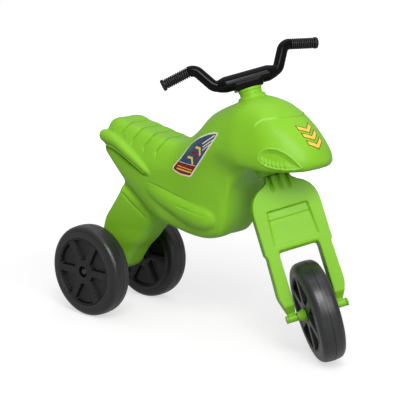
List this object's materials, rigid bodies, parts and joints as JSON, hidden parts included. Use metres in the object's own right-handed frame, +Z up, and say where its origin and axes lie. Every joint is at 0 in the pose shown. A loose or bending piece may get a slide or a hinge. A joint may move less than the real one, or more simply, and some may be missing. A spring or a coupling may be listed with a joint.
{
  "type": "kids ride-on motorcycle",
  "caption": "Child's foot-to-floor ride-on motorcycle: blow-moulded body with ribbed seat, steered fork with wheel in front, wheels either side at the rear, black handlebar.",
  "frame": {"origin": "on the floor, under the middle of the box round the whole bike with its fork turned as stored", "axes": "+X forward, +Y to the rider's left, +Z up; the body's own middle plane is at the rear axle's middle"},
  "size_m": [0.6494, 0.232, 0.5464],
  "materials": {
    "lime_green_plastic": "semi-gloss blow-moulded polyethylene",
    "gloss_black_plastic": "gloss",
    "black_grip_rubber": "satin",
    "dark_grey_tyre": "satin moulded plastic tread",
    "dark_grey_rim": "satin moulded plastic",
    "black_nylon": "satin",
    "bare_steel": "bare",
    "bright_cap": "bright plated"
  },
  "bodies": {
    "body": {"body_shell": "lime_green_plastic", "upper_head_bush": "lime_green_plastic", "lower_head_bush": "lime_green_plastic", "rear_axle": "bare_steel", "rear_left_axle_cap": "bright_cap", "rear_right_axle_cap": "bright_cap", "rear_left_washer": "bare_steel", "rear_right_washer": "bare_steel"},
    "steering": {"front_fork": "lime_green_plastic", "fork_screw": "bare_steel", "steering_stem": "bare_steel", "thrust_washer": "bare_steel", "handlebar": "gloss_black_plastic", "handlebar_screw": "bare_steel", "left_grip": "black_grip_rubber", "right_grip": "black_grip_rubber", "front_axle": "bare_steel", "front_left_axle_cap": "lime_green_plastic", "front_right_axle_cap": "lime_green_plastic", "front_left_spacer": "lime_green_plastic", "front_right_spacer": "lime_green_plastic"},
    "front_wheel": {"front_tyre": "dark_grey_tyre", "front_rim": "dark_grey_rim", "front_hub_bush": "black_nylon"},
    "rear_left_wheel": {"rear_left_tyre": "dark_grey_tyre", "rear_left_rim": "dark_grey_rim", "rear_left_hub_bush": "black_nylon"},
    "rear_right_wheel": {"rear_right_tyre": "dark_grey_tyre", "rear_right_rim": "dark_grey_rim", "rear_right_hub_bush": "black_nylon"}
  },
  "joints": [
    {"name": "steering_turn", "type": "hinge", "parent": "body", "child": "steering", "pos_m": [0.24054, -0.01025, 0.08854], "axis": [-0.3785, 0, 0.9256], "range_deg": [-4.6, 85.4]},
    {"name": "front_wheel_spin", "type": "hinge", "parent": "steering", "child": "front_wheel", "pos_m": [0.24386, -0.0133, 0.0899], "axis": [0.5999, 0.7615, 0.2453], "continuous": true},
    {"name": "rear_left_wheel_spin", "type": "hinge", "parent": "body", "child": "rear_left_wheel", "pos_m": [-0.23511, 0.07155, 0.08957], "axis": [0, 1, 0], "continuous": true},
    {"name": "rear_right_wheel_spin", "type": "hinge", "parent": "body", "child": "rear_right_wheel", "pos_m": [-0.23511, -0.09205, 0.08957], "axis": [0, 1, 0], "continuous": true}
  ]
}
